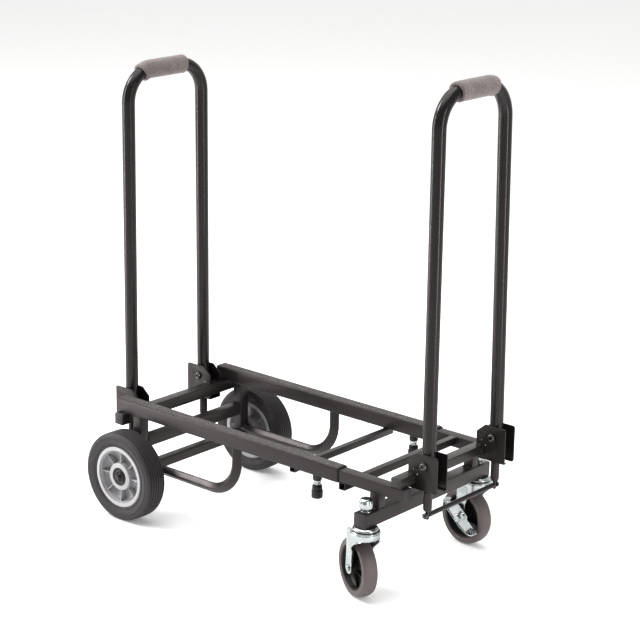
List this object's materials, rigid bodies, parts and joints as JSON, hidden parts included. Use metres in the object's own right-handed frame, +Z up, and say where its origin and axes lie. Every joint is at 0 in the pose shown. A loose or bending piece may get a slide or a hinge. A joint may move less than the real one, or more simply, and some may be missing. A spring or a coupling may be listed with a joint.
{
  "type": "convertible hand truck",
  "caption": "Convertible hand truck: telescoping square-tube deck on two fixed wheels and two swivel casters, with a folding hoop handle with foam grip at each end.",
  "frame": {"origin": "on the floor, at the centre of the bounding box in plan, midway between the two handles", "axes": "+X along the deck towards the casters, +Y to the side of the braked caster, +Z up"},
  "size_m": [0.9072, 0.476, 1.0508],
  "materials": {
    "black_frame": "satin powder coat",
    "black_handle": "semi-gloss powder coat",
    "grip_tape": "rough mineral grit",
    "grey_foam": "matt closed-cell foam",
    "black_rubber": "matt",
    "caster_rubber": "satin",
    "grey_plastic": "fine satin",
    "black_plastic": "fine satin",
    "zinc": "bright zinc plate",
    "dark_steel": "blackened steel"
  },
  "bodies": {
    "rear_frame": {"outer_rail_near": "black_frame", "outer_rail_far": "black_frame", "grip_tape_near": "grip_tape", "grip_tape_far": "grip_tape", "rail_bush_near": "black_plastic", "rail_bush_far": "black_plastic", "rear_post_near": "black_frame", "rear_post_far": "black_frame", "side_loop_near": "black_frame", "side_loop_far": "black_frame", "axle_nut_near": "dark_steel", "axle_nut_far": "dark_steel", "rear_bracket_near": "black_frame", "rear_bracket_far": "black_frame", "rear_pivot_bolt_near": "dark_steel", "rear_pivot_bolt_far": "dark_steel", "lock_housing_near": "dark_steel", "lock_housing_far": "dark_steel", "rear_cross_tube": "black_frame", "deck_tie_tube": "black_frame", "mid_cross_tube": "black_frame", "axle_tube": "black_frame", "rear_axle": "dark_steel"},
    "rear_wheel_near": {"rear_tyre_near": "black_rubber", "rear_rim_near": "grey_plastic"},
    "rear_wheel_far": {"rear_tyre_far": "black_rubber", "rear_rim_far": "grey_plastic"},
    "lock_knob_near": {"lock_knob_near": "black_plastic"},
    "lock_knob_far": {"lock_knob_far": "black_plastic"},
    "rear_handle": {"rear_handle_tube": "black_handle", "rear_grip": "grey_foam"},
    "rear_lock_bar": {"rear_lock_bar": "black_frame"},
    "front_frame": {"inner_rail_near": "black_frame", "inner_rail_far": "black_frame", "caster_post_near": "black_frame", "caster_post_far": "black_frame", "kingpin_near": "zinc", "kingpin_far": "zinc", "front_bracket_near": "black_frame", "front_bracket_far": "black_frame", "front_pivot_bolt_near": "dark_steel", "front_pivot_bolt_far": "dark_steel", "front_cross_tube": "black_frame", "inner_tie_tube": "black_frame", "flush_tie_tube": "black_frame", "caster_beam": "black_frame"},
    "front_handle": {"front_handle_tube": "black_handle", "front_grip": "grey_foam"},
    "front_lock_bar": {"front_lock_bar": "black_frame"},
    "caster_near": {"caster_fork_near": "zinc", "caster_axle_near": "zinc"},
    "caster_far": {"caster_fork_far": "zinc", "caster_axle_far": "zinc"},
    "caster_wheel_near": {"caster_tread_near": "caster_rubber", "caster_core_near": "black_plastic"},
    "caster_wheel_far": {"caster_tread_far": "caster_rubber", "caster_core_far": "black_plastic"},
    "brake_lever": {"brake_lever": "zinc"}
  },
  "joints": [
    {"name": "rear_wheel_near_spin", "type": "hinge", "parent": "rear_frame", "child": "rear_wheel_near", "pos_m": [-0.3443, -0.2095, 0.1], "axis": [0, 1, 0], "continuous": true},
    {"name": "rear_wheel_far_spin", "type": "hinge", "parent": "rear_frame", "child": "rear_wheel_far", "pos_m": [-0.3443, 0.2095, 0.1], "axis": [0, 1, 0], "continuous": true},
    {"name": "lock_knob_near_pull", "type": "slide", "parent": "rear_frame", "child": "lock_knob_near", "axis": [0, 0, -1], "range_m": [0, 0.008], "stiffness_N_per_m": 400, "springref_m": -0.02},
    {"name": "lock_knob_far_pull", "type": "slide", "parent": "rear_frame", "child": "lock_knob_far", "axis": [0, 0, -1], "range_m": [0, 0.008], "stiffness_N_per_m": 400, "springref_m": -0.02},
    {"name": "rear_handle_fold", "type": "hinge", "parent": "rear_frame", "child": "rear_handle", "pos_m": [-0.4196, 0, 0.239], "axis": [0, 1, 0], "range_deg": [0, 87.2]},
    {"name": "rear_lock_lift", "type": "slide", "parent": "rear_handle", "child": "rear_lock_bar", "axis": [0, 0, 1], "range_m": [0, 0.036]},
    {"name": "deck_extend", "type": "slide", "parent": "rear_frame", "child": "front_frame", "axis": [1, 0, 0], "range_m": [0, 0.36]},
    {"name": "front_handle_fold", "type": "hinge", "parent": "front_frame", "child": "front_handle", "pos_m": [0.4196, 0, 0.296], "axis": [0, -1, 0], "range_deg": [0, 85.5]},
    {"name": "front_lock_lift", "type": "slide", "parent": "front_handle", "child": "front_lock_bar", "axis": [0, 0, 1], "range_m": [0, 0.036]},
    {"name": "caster_near_swivel", "type": "hinge", "parent": "front_frame", "child": "caster_near", "pos_m": [0.3237, -0.1885, 0.15], "axis": [0, 0, 1], "continuous": true},
    {"name": "caster_far_swivel", "type": "hinge", "parent": "front_frame", "child": "caster_far", "pos_m": [0.3237, 0.1885, 0.15], "axis": [0, 0, 1], "continuous": true},
    {"name": "caster_wheel_near_spin", "type": "hinge", "parent": "caster_near", "child": "caster_wheel_near", "pos_m": [0.2964, -0.17606, 0.0625], "axis": [0.4147, 0.91, 0], "continuous": true},
    {"name": "caster_wheel_far_spin", "type": "hinge", "parent": "caster_far", "child": "caster_wheel_far", "pos_m": [0.29396, 0.19242, 0.0625], "axis": [0.1305, 0.9914, 0], "continuous": true},
    {"name": "brake_lever_rock", "type": "hinge", "parent": "caster_far", "child": "brake_lever", "pos_m": [0.29396, 0.19242, 0.0625], "axis": [0.1305, 0.9914, 0], "range_deg": [0, 14]}
  ]
}
